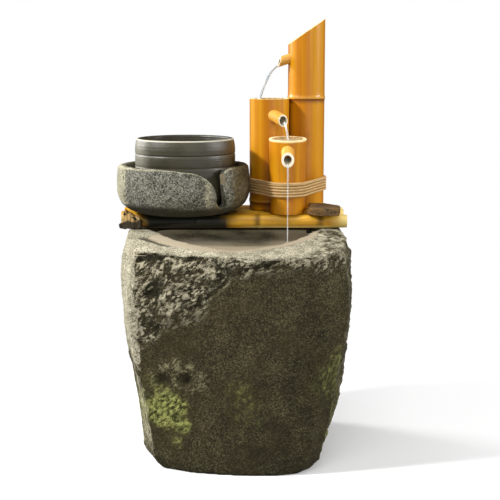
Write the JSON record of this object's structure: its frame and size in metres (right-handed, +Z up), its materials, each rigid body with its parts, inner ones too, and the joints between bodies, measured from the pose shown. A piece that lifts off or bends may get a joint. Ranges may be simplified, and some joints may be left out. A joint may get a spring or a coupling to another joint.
{
  "type": "bamboo spout water fountain",
  "caption": "Garden water fountain: hewn stone basin, bamboo raft, bound bamboo tubes with spouts, notched stone bowl with a pot, and a submersible pump.",
  "frame": {"origin": "on the ground under the middle of the stone basin", "axes": "+Z up, -Y towards the front with the spouts, +X to the right as seen from the front"},
  "size_m": [0.5164, 0.4535, 0.9502],
  "materials": {
    "basin_granite": "hewn and weathered",
    "bowl_granite": "speckled, pecked",
    "pot_stoneware": "smooth matt",
    "raft_bamboo": "weathered cane",
    "tube_bamboo": "varnished cane",
    "spout_bamboo": "varnished cane, cut ends",
    "old_wood": "weathered",
    "hemp_rope": "twisted hemp",
    "screw_steel": "stainless",
    "hose_vinyl": "smooth",
    "pump_plastic": "moulded",
    "rotor_plastic": "moulded",
    "magnet_ferrite": "ground",
    "shaft_ceramic": "ground",
    "soft_rubber": "smooth",
    "water": "clear"
  },
  "bodies": {
    "basin": {"stone_basin": "basin_granite"},
    "raft": {"raft_pole_1": "raft_bamboo", "raft_pole_2": "raft_bamboo", "raft_pole_3": "raft_bamboo", "raft_pole_4": "raft_bamboo", "raft_pole_5": "raft_bamboo", "raft_pole_6": "raft_bamboo", "raft_dowels": "raft_bamboo", "left_chock": "old_wood", "right_block": "old_wood", "tall_tube": "tube_bamboo", "medium_tube": "tube_bamboo", "small_tube": "tube_bamboo", "upper_spout": "spout_bamboo", "middle_spout": "spout_bamboo", "lower_spout": "spout_bamboo", "rope_binding": "hemp_rope", "tube_screws": "screw_steel", "water_hose": "hose_vinyl", "pump_housing": "pump_plastic", "outlet_nozzle": "pump_plastic", "impeller_cover": "pump_plastic", "chamber_seal": "soft_rubber", "rotor_shaft": "shaft_ceramic", "shaft_bushes": "soft_rubber", "suction_feet": "soft_rubber", "cord_gland": "soft_rubber"},
    "bowl": {"stone_bowl": "bowl_granite"},
    "pot": {"inner_pot": "pot_stoneware"},
    "rotor": {"impeller": "rotor_plastic", "rotor_magnet": "magnet_ferrite"},
    "intake": {"strainer": "pump_plastic"},
    "dial": {"flow_dial": "rotor_plastic"}
  },
  "joints": [
    {"name": "raft_lift", "type": "slide", "parent": "basin", "child": "raft", "axis": [0, 0, 1], "range_m": [0, 0.32]},
    {"name": "bowl_lift", "type": "slide", "parent": "raft", "child": "bowl", "axis": [0, 0, 1], "range_m": [0, 0.12]},
    {"name": "pot_lift", "type": "slide", "parent": "bowl", "child": "pot", "axis": [0, 0, 1], "range_m": [0, 0.11]},
    {"name": "rotor_spin", "type": "hinge", "parent": "raft", "child": "rotor", "pos_m": [0.122, 0.091, 0.228], "axis": [0, 1, 0], "continuous": true},
    {"name": "intake_pull", "type": "slide", "parent": "raft", "child": "intake", "axis": [0, -1, 0], "range_m": [0, 0.03]},
    {"name": "dial_turn", "type": "hinge", "parent": "intake", "child": "dial", "pos_m": [0.122, 0.0378, 0.228], "axis": [0, 1, 0], "range_deg": [0, 90]}
  ]
}
